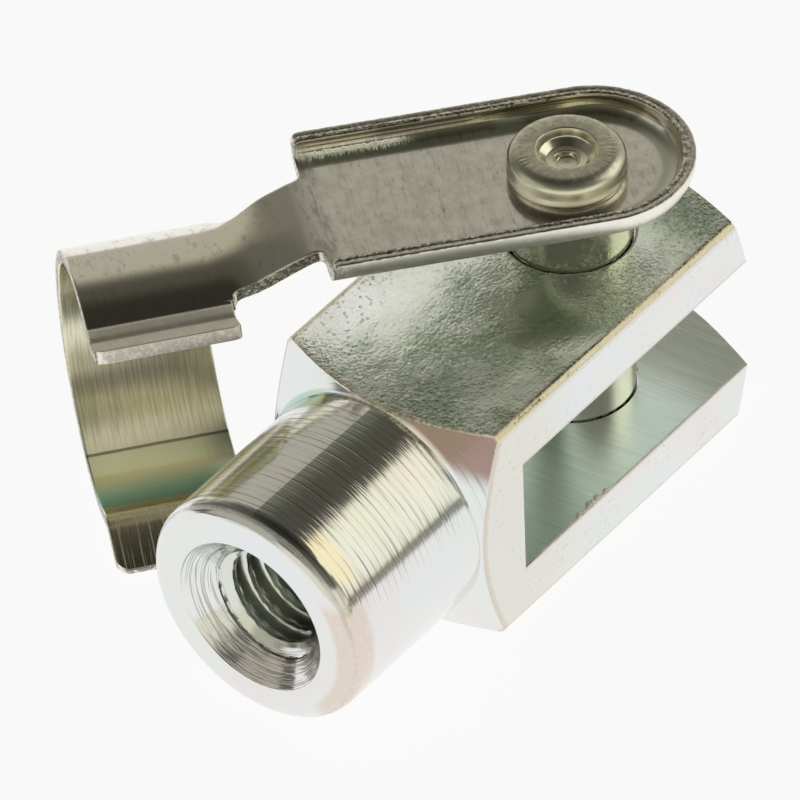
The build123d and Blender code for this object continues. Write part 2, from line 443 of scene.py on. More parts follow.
def dressFork(c):
    # height = turning cuts off the flats, drawn skin and pits on them, milling arcs in the slot;
    # colour = clouds of plating tint, then each part's own tints and marks over them, some of them painted
    # light and shade
    material, bench = newMaterial("zincPlate")
    x, y, z = bench.place()
    nx, ny, nz = bench.facing()
    rho = (y * y + z * z).power(0.5)
    flat = abs(y).largest(abs(z)).rise(*c.flatFrom)
    onTop, onSide = z.rise(*c.skinFrom), abs(y).rise(*c.skinFrom)
    inSlot = abs(z).fall(*c.slotWall) * (x > c.slotBack) * (1 - flat)
    milled = inSlot * abs(nz).largest(nx).rise(*c.milledFacing)
    behind = x < c.behindSlot
    speck = bench.grain(x, y, z, 7.0, 3.0, 0.7)
    # turning grooves run round the fork's axis, spaced along it on the shank and along the radius on faces
    endwise = abs(nx).rise(*c.endFacing)
    travel = x + endwise * (rho - x)
    wander = bench.grain(x * 0.4, y * 0.3, z * 0.3, 1.0, 1.0)
    feed = ((travel + wander * c.feedWander) * (2 * math.pi / c.feed)).sine()
    depthVaries = bench.grain(travel * 3.0, y * 0.5, z * 0.5).rise(0.35, 0.7)
    scratch = bench.grain(travel * 10.0 + wander * 0.6, y * 0.22, z * 0.22, 1.0, 2.0, 0.6).rise(0.52, 0.72)
    cut = feed.rise(0.62, 1.0) * (0.15 + depthVaries)
    bore = rho.fall(*c.boreRadius) * x.rise(*c.boreFrom) * (x < c.boreTo)
    countersink = rho.fall(*c.sinkRadius) * x.fall(*c.sinkTo) * endwise * abs(nx).fall(*c.sinkFacing)
    rings = bench.grain(rho * 26.0, y * 0.4, z * 0.4, 1.0, 2.0, 0.6).rise(0.48, 0.62)
    turned = (0 - (cut + scratch * 1.2) * (1 - bore) * c.turnDepth) - rings * countersink * c.ringDepth
    # drawn flats: an orange-peel skin with small round pits, in patches, deepest on the top flat
    patchy = bench.grain(x + 3.0, y, z, 0.3).rise(0.36, 0.56)
    skin = bench.grain(x, y, z, 9.0, 2.5, 0.55) * 0.6 + bench.grain(x, y, z, 4.2, 1.0) * 0.5
    pits = bench.cells(x, y, z, 5.5).fall(0.12, 0.3)
    drawnLine = bench.grain(x * 0.5, y * 5.0, z * 5.0)
    drawn = skin * (0.2 + patchy) - pits * (0.04 + patchy) * 0.55 + drawnLine * 0.1
    drawn = drawn * (0.2 + onTop * 0.8) * c.pitDepth
    # milling arcs sweep across the slot
    arcs = bench.grain((x - y * y * 0.02) * 14.0, y * 0.25, z * 0.2, 1.0, 3.0, 0.65)
    height = turned * (1 - flat) * (1 - milled) + drawn * flat + arcs * milled * c.millDepth
    # soft clouds of tint, a rose cone, and a sea-green root where the shank starts
    cloudA = bench.grain(x, y, z, 0.33, 2.0, 0.55)
    cloudB = bench.grain(x + 17.0, y, z - 9.0, 0.42, 2.0, 0.55)
    cool = bench.mix(cloudA.rise(0.35, 0.65), c.green, c.blue)
    warm = bench.mix(cloudB.rise(0.4, 0.62), c.yellow, c.pink)
    cone = (1 - flat) * rho.rise(*c.coneRadius) * behind
    rose = cone * (z - y * 0.12 + cloudB).rise(*c.roseTop) * y.fall(*c.roseNear)
    root = rho.within(*c.rootRadius) * x.rise(*c.rootFrom) * behind * (1 - flat)
    shank = (1 - flat) * (1 - endwise) * rho.rise(*c.shankRadius) * behind
    lined = shank * z.rise(*c.linedTop) + rose + cone * z.rise(*c.coneLinedTop) * y.fall(*c.coneLinedNear) * 0.6
    hair = bench.grain(travel * 16.0, y * 0.3, z * 0.3, 1.0, 2.0, 0.6).rise(0.55, 0.68)
    # painted reflection: the top flat is paler by the far corner; elsewhere it is dull green where it is pitted
    litCorner = y.rise(*c.paleFar) * x.fall(*c.paleTo)
    dull = patchy * bench.grain(x, y, z, 0.8).rise(0.35, 0.6) * (1 - litCorner)
    tint = bench.coats(cool,
                       (cloudB.rise(0.3, 0.7), warm),
                       (onSide * x.fall(*c.warmTo) * 0.8, c.sideWarm),
                       (rose * 0.92, c.rose),
                       (root * y.rise(*c.seaFar) * z.rise(*c.seaTop) * 0.8, c.sea),
                       # dirt and painted shade in the turning grooves and hair lines
                       (lined * (cut * 0.9 + hair * 0.4).smallest(1.0) * 0.6, c.groove),
                       (onTop * (1 - litCorner) * 0.45, c.topGreen),
                       (onTop * dull * 0.8, c.topDark),
                       # painted highlight on the orange peel's raised spots
                       (onTop * skin.rise(0.58, 0.7) * (0.2 + patchy * 0.5), c.topPale),
                       # dirt and painted shade in the top flat's pits and the skin's low spots
                       (onTop * pits.largest(skin.fall(0.42, 0.5)) * (0.15 + patchy * 0.45), c.groove),
                       # painted reflection by the far corner
                       (onTop * litCorner, c.topPale),
                       (milled * 0.9, bench.mix(arcs.rise(0.35, 0.65), c.slotTeal, c.slotPale)),
                       # a slight painted shade inside the bore
                       (bore, c.bore),
                       # dirt and painted shade in the countersink's turned rings
                       (countersink * rings * 0.6, c.groove))
    # worn, brownish edges: the bar's corners, its shoulder and the slot's edges; a cream line on the bar's
    # corners that is wear and a painted highlight; a painted warm reflection on the shank's end rim
    edgeGap = 2 * c.barHalf - abs(y) - abs(z) - (speck - 0.5) * 0.16
    bar = (rho > c.barHalf) * (x > c.barFrom)
    worn = (edgeGap - x.fall(*c.wornWider) * 0.05).fall(*c.wornWidth) * bar
    outline = edgeGap.fall(*c.brownWidth) * bar * (1 - onSide * 0.6)
    shoulderGap = x - (c.shoulder - c.barHalf * c.coneSlope) - rho * c.coneSlope - (speck - 0.5) * 0.3
    browned = shoulderGap.fall(*c.shoulderWidth) * flat * behind
    browned = browned * (onSide * 0.8).largest(y.rise(*c.shoulderFar))
    slotGap = abs(z) - c.slotHalf - (speck - 0.5) * 0.14
    slotWorn = slotGap.fall(*c.slotWidth) * onSide * (x > c.slotWornFrom)
    crowd = bench.grain(x, y, z, 0.7, 1.0).rise(0.42, 0.6)
    spots = bench.grain(x, y, z, 5.0, 3.0, 0.7).rise(0.54, 0.64) * onSide * crowd
    endRim = x.fall(*c.rimTo) * rho.rise(*c.rimRadius)
    nearRimReflection = y.fall(*c.rimNear) * z.rise(*c.rimLow) * z.fall(*c.rimHigh)
    patch = x.fall(*c.patchTo) * x.rise(*c.patchFrom) * y.fall(*c.patchNear) * z.rise(*c.patchTop)
    colour = bench.coats(tint,
                         ((outline + browned + slotWorn * 0.7 + spots * 0.5).smallest(1.0) * 0.6, c.brown),
                         # wear and a painted highlight along the bar's corners
                         (worn * 0.9, c.cream),
                         # painted warm reflection on the near side of the shank's end rim
                         (endRim * nearRimReflection * (0.55 + speck.rise(0.25, 0.55) * 0.45), c.peach),
                         (patch * (0.35 + speck * 0.6), c.yellowPatch))
    rough = 0.09 + 0.06 * flat + 0.18 * milled + speck * 0.06 + worn * 0.3 + bore * 0.07 + onTop * patchy * 0.08
    bench.metal(colour, rough, height)
    fork.data.materials[0] = material
    return material


zincPlate = dressFork(forkFinish)


# ---- rod thread inside the shank ----
print("thread")
threadSet = Settings(
    pitch=0.7, rootRadius=1.985, rootHalf=0.05, flank=30.0, depth=0.365, wallRadius=2.03,
    coneStart=-16.0, coneRadius=2.65, start=-15.35, end=-8.0, slotCurve=54.0,
    perTurn=96, perPitch=22)


def makeThread(c):
    # ridge height = how far the nearest root's flank has risen; the helix moves one pitch along X a turn;
    # the countersink's cone cuts it where it is wider
    count = int((c.end - c.start) / c.pitch * c.perPitch)
    turn = turns(c.perTurn)
    share, angle = np.meshgrid(np.linspace(0, 1, count), turn, indexing="ij")
    y = np.cos(angle) * c.wallRadius
    x = c.start + share * (c.end + y * y / c.slotCurve - c.start)
    phase = (x / c.pitch - angle / (2 * np.pi)) % 1.0
    fromRoot = np.abs(phase - 0.5) * c.pitch - c.rootHalf
    ridge = np.clip(fromRoot / math.tan(math.radians(c.flank)), 0, c.depth)
    radius = np.maximum(c.rootRadius - ridge, c.coneRadius - (x - c.coneStart))
    inner, outer = (np.stack([x, np.cos(angle) * r, np.sin(angle) * r], -1) for r in (radius, c.wallRadius))
    return chain([inner, outer[::-1]]), gridFaces(2 * count, c.perTurn, wrapRows=True)


addPiece("rod_thread", *makeThread(threadSet), zincPlate, "fork", "plated_fork")


# ---- worn burrs along the fork's edges, and the turned-in lips round its bores ----
print("burrs")
burrSet = Settings(
    **block, farthest=3.998, step=0.035,
    perTurn=10, seed=31, lumpSize=0.14, taper=12,
    edgeRun=(-8.6, 3.0), edgeAt=3.895, thick=0.055, thickestAt=-8.2, farThin=0.7,
    shoulderRun=(-3.6, 3.6), shoulderAt=3.975, shoulderThick=0.072,
    slotRun=(-7.6, 3.5), slotAt=-3.955, slotThick=0.035, chipLength=0.16,
    chips=[(-4.85, 0.07), (-4.3, 0.09), (-3.95, 0.07), (-3.5, 0.06)],
    lipRadius=2.09, lipThick=0.042, lipThin=0.9, lipHeights=[3.955, -2.145], lipPoints=300,
    cream=(0.97, 0.92, 0.74), chalk=(0.92, 0.9, 0.85), hollow=(0.55, 0.47, 0.36), rim=(0.52, 0.54, 0.44),
    lowerFrom=(-1.0, 0.0), rimRadius=(2.3, 2.4), crumbDepth=0.012)


def roundBead(path, thick, seed, c, closed=False):
    # rings of points about a path, whose radius swells and shrinks at random and tapers at an open path's ends
    ahead = unit(np.roll(path, -1, 0) - np.roll(path, 1, 0) if closed else np.gradient(path, axis=0))
    side = unit(np.cross(ahead, [0.31, 0.52, 0.8]))
    lift = np.cross(side, ahead)
    angle = turns(c.perTurn)[:, None]
    spokes = side[:, None] * np.cos(angle) + lift[:, None] * np.sin(angle)
    swell = 1 + 0.3 * crumbs(path[:, None] + spokes * 0.05, seed, c.lumpSize).clip(-1.8, 1.0)
    share = np.linspace(0, 1, len(path))
    taper = 1 if closed else np.minimum(1, np.minimum(share, 1 - share) * c.taper).clip(0.02)
    radius = np.broadcast_to(thick, len(path)) * taper
    rings = path[:, None] + spokes * (radius[:, None] * swell)[..., None]
    return (rings, gridFaces(len(path), c.perTurn, wrapRows=True)) if closed else wrappedGrid(rings)


def makeBurrs(c):
    # beads along the top edges on both sides, the shoulder's curve on the top flat, the slot's lower edge
    # with its chips, and both bores' rims
    run = np.arange(*c.edgeRun, c.step)
    upper = [np.stack([run, run * 0 + side * c.edgeAt, run * 0 + c.edgeAt], 1) for side in (-1, 1)]
    swell = 0.45 + 0.75 * np.exp(-((run - c.thickestAt) / 1.6) ** 2) + 0.35 * np.sin(run * 2.1) ** 4
    worn = c.thick * swell
    out = np.arange(*c.shoulderRun, c.step)
    rho = np.hypot(out, c.barHalf)
    shoulderLine = c.shoulder + (rho - c.barHalf) * c.coneSlope - 0.02
    shoulder = np.stack([shoulderLine, out, out * 0 + c.shoulderAt], -1)
    bright = c.shoulderThick * (0.35 + 0.9 * np.exp(-((out + 1.2) / 1.4) ** 2))
    slot = np.arange(*c.slotRun, c.step)
    chip = sum(size * np.exp(-((slot - at) / c.chipLength) ** 2) for at, size in c.chips)
    low = np.stack([slot, c.slotAt + chip * 0.9, slot * 0 - c.slotHalf - 0.01 + chip * 0.1], -1)
    turn = turns(c.lipPoints)
    circle = np.cos(turn) * c.lipRadius, np.sin(turn) * c.lipRadius
    rims = [np.stack([*circle, turn * 0 + z], -1) for z in c.lipHeights]
    lines = [(upper[0], worn), (upper[1], worn * c.farThin), (shoulder, bright), (low, c.slotThick + chip)]
    beads = [roundBead(line, thick, c.seed + k, c) for k, (line, thick) in enumerate(lines)]
    beads += [roundBead(rim, c.lipThick * c.lipThin, c.seed + len(lines), c, True) for rim in rims]
    starts = np.cumsum([0] + [rings.shape[0] * rings.shape[1] for rings, faces in beads])
    points = chain([rings.reshape(-1, 3) for rings, faces in beads])
    points[:, 1] = np.clip(points[:, 1], -c.farthest, c.farthest)
    return points, chain([faces + start for (rings, faces), start in zip(beads, starts)])


def dressBurrs(c):
    # cream with dark hollows above, chalky below, greenish at the bores' rims
    material, bench = newMaterial("wornZinc")
    x, y, z = bench.place()
    crumb = bench.grain(x, y, z, 7.0, 3.0, 0.7)
    lower = bench.mix(crumb.rise(0.3, 0.42), c.cream, c.chalk)
    colour = bench.coats(c.hollow, (crumb.rise(0.36, 0.56), c.cream), (z.fall(*c.lowerFrom), lower),
                         ((x * x + y * y).power(0.5).fall(*c.rimRadius), c.rim))
    bench.metal(colour, 0.22 + crumb * 0.25, crumb * c.crumbDepth, 0.25)
    return material


addPiece("fork_burrs", *makeBurrs(burrSet), dressBurrs(burrSet), "fork", "plated_fork", 60.0)


# ---- pin: turned shank, formed button with radial marks and a dimple ----
print("pin")
pinSet = Settings(
    profile=[(0, -4.0), (1.65, -4.0), (2.0, -3.65), (2.0, 5.86), (1.3, 5.86), (1.3, 6.32), (1.85, 6.32),
             (1.85, 7.27), (0.95, 7.26), (0.86, 6.98), (0.62, 6.82), (0.4, 6.8), (0.34, 6.64), (0, 6.62)],
    radii=[0.05, 0.12, 0.03, 0.05, 0.05, 0.2, 0.46, 0.06, 0.1, 0.08, 0.05, 0.08], spacing=0.09, perTurn=320,
    markRadius=1.4, markWidth=0.14, markHeight=0.005, markFrom=6.9, markSeed=5, marksPerTurn=(30, 80),
    dimpleRadius=(0.88, 0.96), dimpleFrom=6.5, buttonFrom=6.2, sideTo=(6.95, 7.1), stainFrom=(7.05, 7.25),
    underClip=(3.9, 4.1, 5.8, 5.9), slotTo=(1.9, 2.2),
    # the under colour is a painted shade, the in-slot and dimple colours are painted highlights
    bright=(0.88, 0.87, 0.72), green=(0.74, 0.8, 0.66), under=(0.36, 0.4, 0.32), inSlot=(1.0, 1.0, 0.9),
    brown=(0.62, 0.54, 0.45), dimple=(1.0, 0.96, 0.79),
    markDepth=0.0012, tiltFrom=6.95, sideTilt=0.85)


def dressPin(c):
    # clouds of bright and green, painted shade under the clip, painted highlights in the slot, on the button's
    # side and in the dimple, its top stained; the height's slope on the button's side turns its reflection
    # upwards
    material, bench = newMaterial("polishedPin")
    x, y, z = bench.place()
    rounds = bench.grain(x * 0.4, y * 0.4, z * 16.0, 1.0, 2.0, 0.6)
    cloud = bench.grain(x, y, z, 0.9)
    dimple = (x * x + y * y).power(0.5).fall(*c.dimpleRadius) * (z > c.dimpleFrom)
    button = (z > c.buttonFrom) * (1 - dimple)
    shade = (0.55 - x * 0.2 + y * 0.12).smallest(1.0).largest(0.0)
    under = z.within(*c.underClip) * shade
    stain = z.rise(*c.stainFrom) * bench.grain(x, y, z, 5.0, 3.0, 0.65).rise(0.35, 0.6) * (1 - dimple)
    colour = bench.coats(c.bright,
                         (cloud.rise(0.25, 0.75) * 0.7, c.green),
                         # painted shade under the clip
                         (under * 0.6, c.under),
                         # painted highlight on the pin where it crosses the slot
                         (abs(z).fall(*c.slotTo) * 0.8, c.inSlot),
                         (stain * 0.55, c.brown),
                         # painted highlight in the dimple and on the button's side
                         (dimple.largest(button * z.fall(*c.sideTo)) * 0.8, c.dimple))
    rough = 0.09 + cloud * 0.08 + stain * 0.12 + button * 0.15 + dimple * 0.06
    height = rounds * c.markDepth + (c.tiltFrom - z).largest(0.0).power(2.0) * button * c.sideTilt
    bench.metal(colour, rough, height)
    return material


def makePin(c):
    # the profile turned about Z, with the forming tool's radial marks on the button's top ring
    line = finer(roundedLine(c.profile, c.radii), c.spacing)
    turn = turns(c.perTurn)
    radius, angle = np.meshgrid(line[:, 0], turn, indexing="ij")
    height = np.repeat(line[:, 1:], c.perTurn, axis=1)
    onTop = np.exp(-((radius - c.markRadius) / c.markWidth) ** 2) * (height > c.markFrom)
    height = height + onTop * c.markHeight * (ripple(angle, c.markSeed, *c.marksPerTurn) - 1.0)
    radius[[0, -1]] = 0
    points = np.stack([radius * np.cos(angle), radius * np.sin(angle), height], -1)
    return points, gridFaces(len(line), c.perTurn)


polishedPin = dressPin(pinSet)
pin.data.materials[0] = polishedPin
pinPiece = addPiece("pin_turned", *makePin(pinSet), polishedPin, "pin", "plated_pin")
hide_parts("pin")


# ---- clip: a tray with a rim, a neck and a clasp, bent from one sheet ----
print("clip")
# along runs from the pin to the clasp, across to the near side; the clasp's arc is about its grip's axis
clipSet = Settings(
    swing=40.1, floorZ=5.88, sheet=0.42, edgeRound=0.05, edgeCrumb=0.01,
    trayHalf=3.2, noseAt=-0.75, trayEnd=7.9, rimHeight=1.03, bend=0.45, bendSteps=9, cornerRadius=0.27,
    hole=1.35, step=0.055, wallSteps=[0.06, 0.12, 0.18, 0.24], floorRows=13, sink=0.004,
    rimInset=[0.42, 0.41, 0.375, 0.31, 0.25, 0.21, 0.17, 0.11, 0.06, 0.03, 0.006, 0.0],
    rimDrop=[2.2, 0.9, 0.2, 0.0, 0.25, 0.45, 0.2, 0.0, 0.0, 0.1, 0.5, 1.3], trayCrumb=(11, 0.16),
    neckHalf=1.7, neckFillet=0.3, farFillet=0.8, nearTaper=0.3, neckOverlap=0.5, neckBend=1.3,
    claspBlend=3.6, blendSteps=24, neckSpacing=0.04, rollAfter=0.3, neckLift=0.0012, neckCrumb=(23, 0.15),
    claspStart=10.7, claspLength=4.5, claspPitch=1.3, claspDrop=-5.0, claspRadius=3.95, claspReach=63.0,
    lipBend=0.8, lipAngle=28.0, upperLip=1.1, lowerLip=1.4, upperCorner=0.35, lowerCorner=0.45,
    # where the marks are: (none yet, full) for a rise, (full, none left) for a fall
    squareOn=(0.75, 0.95), rimFrom=(6.86, 6.9), smoothRim=(0.13, 0.19), endsFrom=(5.0, 5.5),
    neck=(7.7, 8.0, 10.8, 10.86), neckAbove=(3.0, 3.6), flareFrom=(9.7, 9.9), flareFar=(-1.6, -1.4),
    trayTo=(7.8, 7.9), outwardFrom=(0.9, 1.8), drawnWithin=(0.8, 1.3), fold=(7.3, 7.6, 8.0, 8.3),
    claspFrom=(9.0, 9.5), lowTo=(-0.5, 0.0), lineAt=1.18, lineWidth=(0.03, 0.07),
    bands=[("leaf", (-1.15, -1.0), (-0.45, -0.2), 0.7), ("teal", (-0.4, 0.9), (1.2, 1.4), 0.85),
           ("peach", (-2.4, -1.9), (-1.2, -1.1), 0.8)],
    upperFrom=(4.2, 4.5), hollowFrom=(1.72, 1.84), tiltFrom=1.74, scuffsFrom=(8.3, 9.0),
    insideRim=(0.36, 0.42), footWithin=(0.95, 1.15), footTo=(0.12, 0.2), floorTo=(0.02, 0.06),
    farFrom=(-1.9, -1.7), bandRise=(0.02, 0.19), bandFrom=(3.6, 5.2), dimRise=(0.21, 0.28),
    dimNoseRise=(0.02, 0.08), dimNoseTo=(4.0, 5.0), gleamAt=1.2, gleamWidth=(0.2, 0.7), midRise=(0.2, 0.27),
    midFrom=(2.0, 2.7), midTo=(5.0, 5.8), lowerLipFrom=(1.9, 2.1), brushedTo=(-2.0, -0.9),
    lipFacing=(0.7, 0.85), lowerEnd=(-2.5, -2.0), upperEnd=(4.0, 4.4),
    warm=(0.87, 0.83, 0.77), olive=(0.86, 0.83, 0.6), teal=(0.34, 0.76, 0.86), peach=(1.0, 0.96, 0.88),
    leaf=(0.92, 1.0, 0.86), line=(0.16, 0.15, 0.12), shearDark=(0.35, 0.31, 0.26),
    shearBright=(0.95, 0.92, 0.82), shearPale=(0.78, 0.75, 0.68), beadWhite=(1.0, 0.98, 0.92),
    wallPale=(1.0, 1.0, 0.9), floorPale=(1.0, 0.97, 0.93), wallOlive=(0.36, 0.33, 0.22),
    footGreen=(0.72, 0.78, 0.64),
    grainDepth=0.0011, shearDepth=0.012, foldDepth=0.006, bandDepth=0.095, lipTilt=0.45)


def dressClip(c):
    # height = rolled grain and draw marks, crumbs where sheared, and slopes that turn two bends' reflections;
    # colour = warm steel under the marks of tray, fold and clasp and the painted shade of the tray's far wall,
    # then sheared edges, then the clasp's brushing
    material, bench = newMaterial("springSheet")
    x, y, z = bench.place()
    nx, ny, nz = bench.facing()
    cosine, sine = math.cos(math.radians(c.swing)), math.sin(math.radians(c.swing))
    along, alongFace = (b * sine - a * cosine for a, b in ((x, y), (nx, ny)))
    across, acrossFace = (0 - (a * sine + b * cosine) for a, b in ((x, y), (nx, ny)))

    def lines(fine, wide, tall, detail, rough=0.6):
        # noise pressed together along the clip and drawn out the other ways
        return bench.grain(along * fine, across * wide, z * tall, 1.0, detail, rough)

    # rolled grain and brush lines run across the strip, so round the clasp too
    streak = lines(9.0, 0.5, 0.5, 3.0)
    brush = lines(22.0, 0.8, 0.8, 1.0, 0.5).rise(0.6, 0.75)
    cloud = bench.grain(x, y, z, 0.5)
    crumb = bench.grain(x, y, z, 8.0, 3.0, 0.7)
    mottle = bench.grain(x, y, z, 2.6, 3.0, 0.6).rise(0.35, 0.65)
    # sheared edges: the rim's top, smoother outside, the clasp's ends and the neck's sides
    rimTop = z.rise(*c.rimFrom)
    ends = abs(alongFace).rise(*c.squareOn) * along.rise(*c.endsFrom)
    onNeck = along.within(*c.neck) * z.rise(*c.neckAbove)
    level = (acrossFace * acrossFace + alongFace * alongFace).power(0.5)
    flare = level.rise(*c.squareOn) * along.rise(*c.flareFrom) * across.fall(*c.flareFar)
    sides = abs(acrossFace).rise(*c.squareOn).largest(flare) * onNeck
    sheared = rimTop.largest(ends).largest(sides)
    beyondNose = (along - c.noseAt).smallest(0.0)
    inset = c.trayHalf - (beyondNose * beyondNose + across * across).power(0.5)
    smooth = inset.fall(*c.smoothRim) * rimTop
    onTray = along.fall(*c.trayTo)
    outward = (acrossFace * across + alongFace * beyondNose).rise(*c.outwardFrom) * onTray * (1 - rimTop)
    drawMarks = lines(12.0, 1.0, 1.0, 2.0) * inset.fall(*c.drawnWithin) * onTray
    # the fold between tray and neck is pulled dull and streaky
    fold = along.within(*c.fold) * (1 - sheared)
    pulled = lines(5.0, 1.2, 5.0, 4.0, 0.7)
    # inner and outer side of the clasp, split by the direction from its grip's axis
    onClasp = along.rise(*c.claspFrom)
    inner = ((acrossFace * across + nz * (z - (c.floorZ + c.claspDrop))) < 0) * onClasp
    low = inner * z.fall(*c.lowTo)
    wave = (cloud - 0.5) * 0.3
    waved = across + wave
    # the upper lip is matt and rippled outside, the rest of the clasp scuffed
    hollow = (1 - inner) * onClasp * z.rise(*c.upperFrom) * across.rise(*c.hollowFrom)
    rippled = lines(7.0, 1.5, 1.5, 3.0).rise(0.35, 0.6)
    scuffs = lines(4.0, 1.5, 1.5, 4.0, 0.7).rise(0.52, 0.66) * (1 - inner)
    scuffs = scuffs * along.rise(*c.scuffsFrom)
    # up the far wall inside: a streaky dull foot, a bright drawn band, and painted shade: an olive top left
    # light at one painted gleam, and a dark stretch in the middle
    climb = z - (c.floorZ + c.sheet) + (drawMarks - 0.25) * 0.1
    inside = (1 - outward) * onTray * inset.rise(*c.insideRim)
    strokes = lines(10.0, 1.2, 1.5, 3.0, 0.65)
    foot = inside * inset.fall(*c.footWithin) * climb.fall(*c.footTo)
    onFar = inside * across.fall(*c.farFrom)
    drawnBand = onFar * climb.rise(*c.bandRise) * along.rise(*c.bandFrom)
    gleam = abs(along - c.gleamAt).fall(*c.gleamWidth)
    dimNose = climb.rise(*c.dimNoseRise) * along.fall(*c.dimNoseTo) * (1 - gleam)
    dimmed = climb.rise(*c.dimRise).largest(dimNose)
    midWallShade = onFar * climb.rise(*c.midRise) * along.rise(*c.midFrom) * along.fall(*c.midTo)
    # small marks on the tray's floor
    nick = bench.grain(along * 13.0, across * 3.0, z, 1.0, 2.0, 0.6).rise(0.62, 0.7)
    nick = nick * bench.grain(x, y, z, 1.3, 1.0).rise(0.4, 0.6)
    onFloor = inside * (1 - foot) * climb.fall(*c.floorTo)
    height = (streak + brush * 0.8 + drawMarks * 1.5) * c.grainDepth
    height = height + crumb * sheared * (1 - smooth * 0.7) * c.shearDepth
    height = height + pulled * fold * c.foldDepth - (across - c.tiltFrom).largest(0.0) * hollow * c.lipTilt
    height = height + drawnBand * c.bandDepth
    bands = [(low * waved.rise(*start) * waved.fall(*end) * share, c[name])
             for name, start, end, share in c.bands]
    tint = bench.coats(c.warm,
                       (cloud.rise(0.35, 0.65) * 0.35 + inner * 0.6, c.olive),
                       *bands,
                       (low * abs(across + c.lineAt + wave * 0.3).fall(*c.lineWidth) * 0.8, c.line),
                       (hollow * (0.6 + rippled * 0.4), c.peach),
                       (scuffs * (1 - hollow) * 0.35, c.shearDark),
                       (outward * (0.6 + mottle * 0.35), c.wallPale),
                       (foot * (0.45 + strokes * 0.5), c.footGreen),
                       # painted shade on the far wall's upper part, left light at the gleam
                       (onFar * dimmed * (0.95 - strokes * 0.4), c.wallOlive),
                       # painted dark stretch in the middle of the far wall
                       (midWallShade * 0.75, c.line),
                       (onFloor * 0.8, c.floorPale),
                       (onFloor * (mottle * 0.22 + nick * 0.45 + strokes.rise(0.5, 0.66) * 0.22), c.shearDark),
                       (fold * pulled.rise(0.45, 0.6) * 0.5, c.shearDark))
    beads = bench.grain(x, y, z, 5.5, 1.0).rise(0.54, 0.6) * rimTop * (1 - smooth)
    shear = bench.coats(c.shearDark, (crumb.rise(0.47, 0.6), c.shearBright), (beads, c.beadWhite),
                        (smooth * 0.8, c.shearPale))
    # upright brush streaks inside the clasp, strongest by its upper end and on the dark lower lip
    upright = lines(14.0, 0.6, 0.6, 2.0)
    lowerLip = low * across.rise(*c.lowerLipFrom)
    rubbed = lines(26.0, 0.5, 0.5, 1.0, 0.5).rise(0.6, 0.68)
    brushed = inner * across.fall(*c.brushedTo)
    lipEnd = acrossFace.rise(*c.lipFacing) * onClasp * (z.fall(*c.lowerEnd) * 0.95 + z.rise(*c.upperEnd) * 0.35)
    colour = bench.coats(tint,
                         (sheared, shear),
                         (brushed * upright.fall(0.4, 0.52) * 0.28, c.shearDark),
                         (brushed * upright.rise(0.52, 0.64) * 0.35, c.peach),
                         (lowerLip * 0.7, c.shearDark),
                         (lowerLip * rubbed * 0.8, c.peach),
                         (lipEnd, bench.mix(crumb.rise(0.5, 0.6), c.line, c.shearPale)))
    rough = 0.1 + cloud * 0.05 + fold * 0.14 + sheared * 0.16 + outward * 0.34 + hollow * 0.36 + foot * 0.22
    rough = rough + scuffs * 0.1 + inner * 0.14 + lowerLip * rubbed * 0.3
    bench.metal(colour, rough, height)
    return material


def clipPlace(along, across, rise, c):
    # the clip's own directions turned by its swing about the pin
    turn = math.radians(c.swing)
    x = -along * math.cos(turn) - across * math.sin(turn)
    y = along * math.sin(turn) - across * math.cos(turn)
    return np.stack([x, y, rise + c.floorZ], -1)


